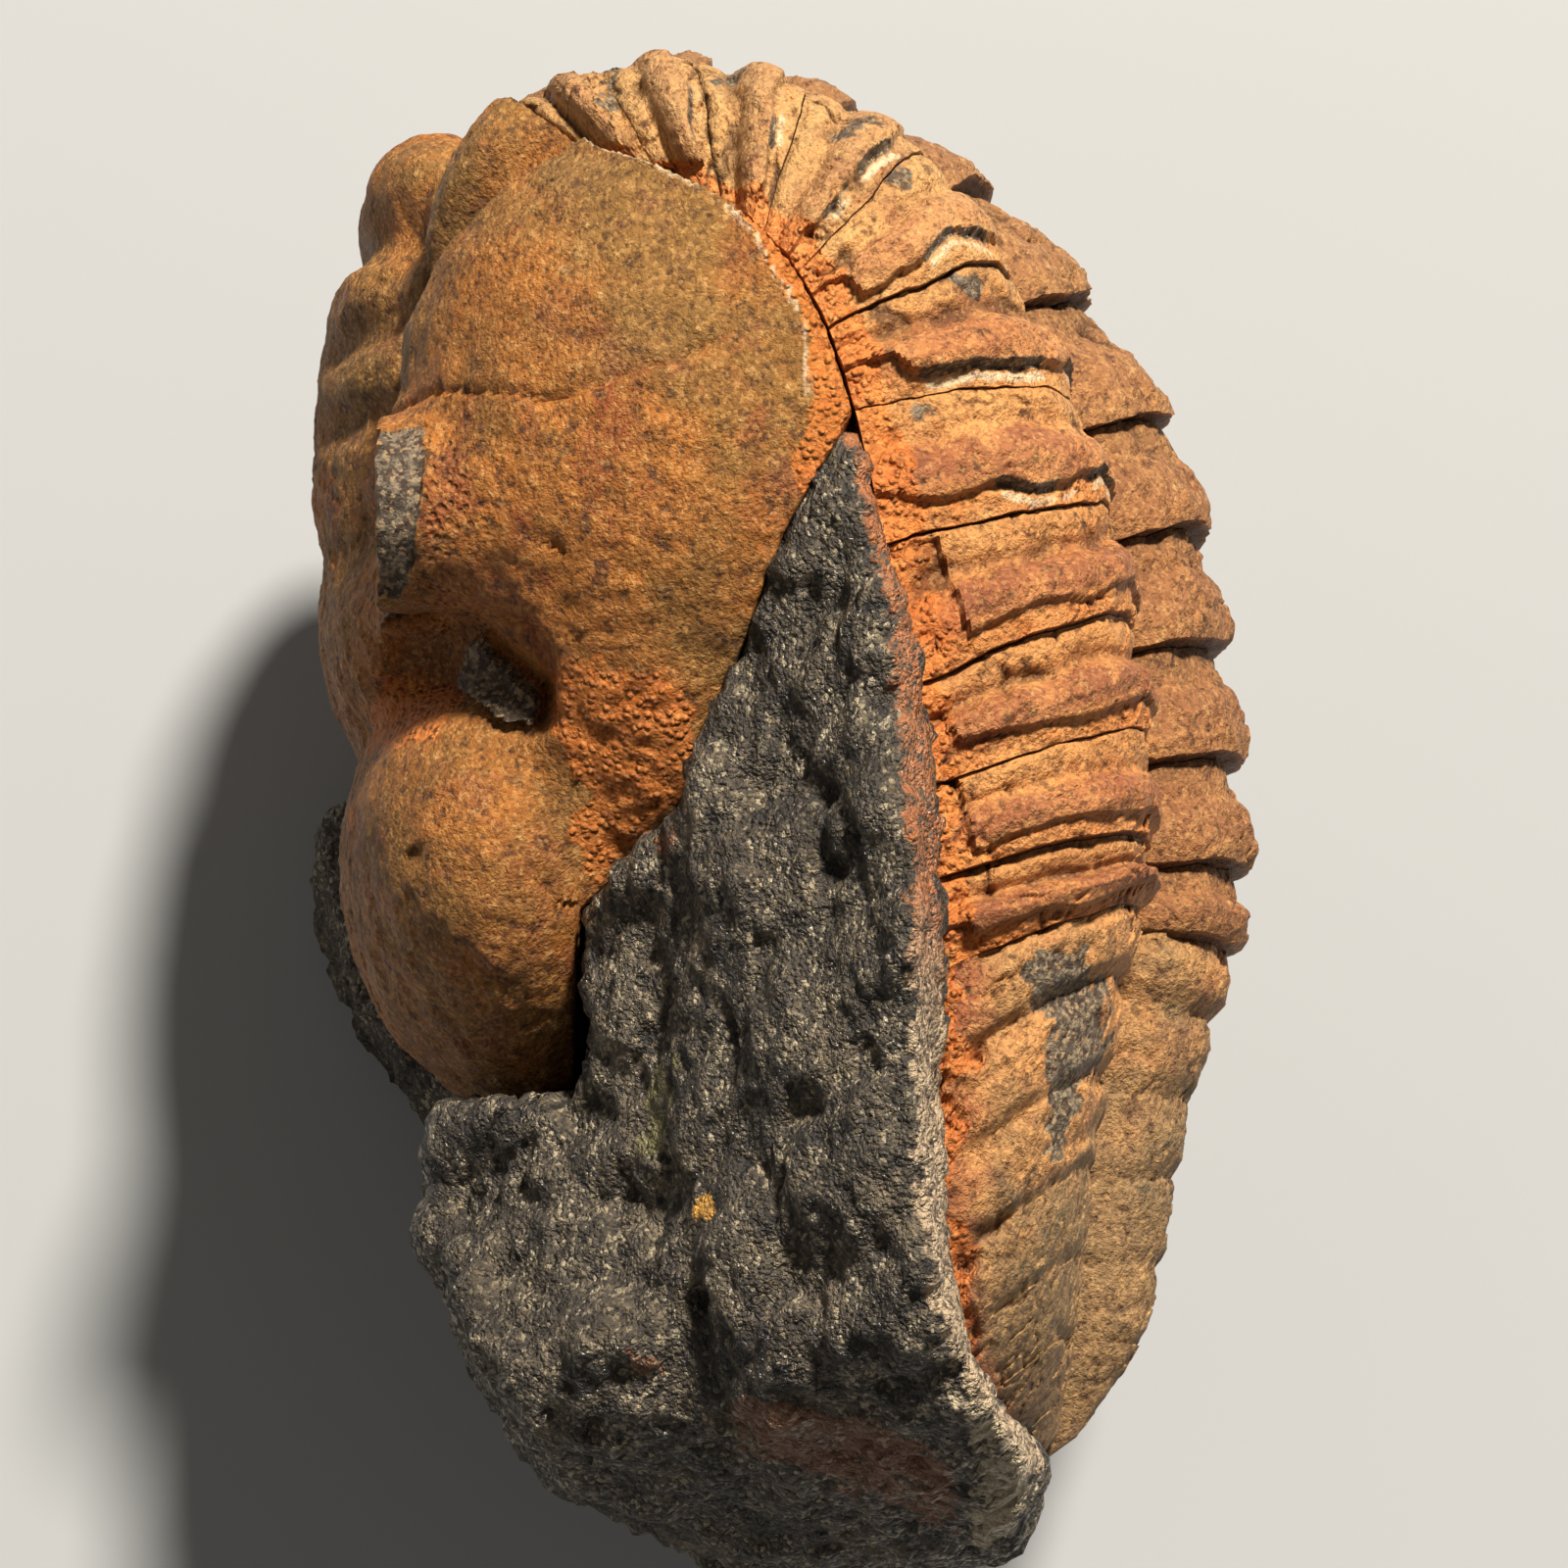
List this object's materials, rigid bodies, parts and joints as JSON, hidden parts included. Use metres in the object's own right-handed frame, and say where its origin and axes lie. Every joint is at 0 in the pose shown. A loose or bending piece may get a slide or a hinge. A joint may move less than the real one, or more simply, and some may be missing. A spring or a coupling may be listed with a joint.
{
  "type": "fossil metacryphaeus trilobite",
  "caption": "Enrolled trilobite fossil: head shield with compound eyes, arched row of ringed thorax plates and ribbed tail, closed round a core of dark rock.",
  "frame": {"origin": "on the surface the fossil lies on, under the middle of its outline", "axes": "+Z away from the surface, towards the side the picture shows; +X from the animal's face to the back of its thorax; +Y from the lower end to the top of the arch. The animal's plane of symmetry is level."},
  "size_m": [0.0256, 0.0402, 0.0343],
  "materials": {
    "rock": "broken, fine-grained, dull",
    "shell": "mineralised shell, mottled ochre and olive brown, faint sheen",
    "thorax": "mineralised shell, ochre with broken grey patches",
    "tail": "mineralised shell, ochre, abraded dark patch"
  },
  "bodies": {
    "root": {"rock_matrix": "rock", "cephalon": "shell", "thorax_segment_01": "thorax", "thorax_segment_02": "thorax", "thorax_segment_03": "thorax", "thorax_segment_04": "thorax", "thorax_segment_05": "thorax", "thorax_segment_06": "thorax", "thorax_segment_07": "thorax", "thorax_segment_08": "thorax", "thorax_segment_09": "thorax", "thorax_segment_10": "thorax", "thorax_segment_11": "thorax", "pygidium": "tail"}
  },
  "joints": []
}
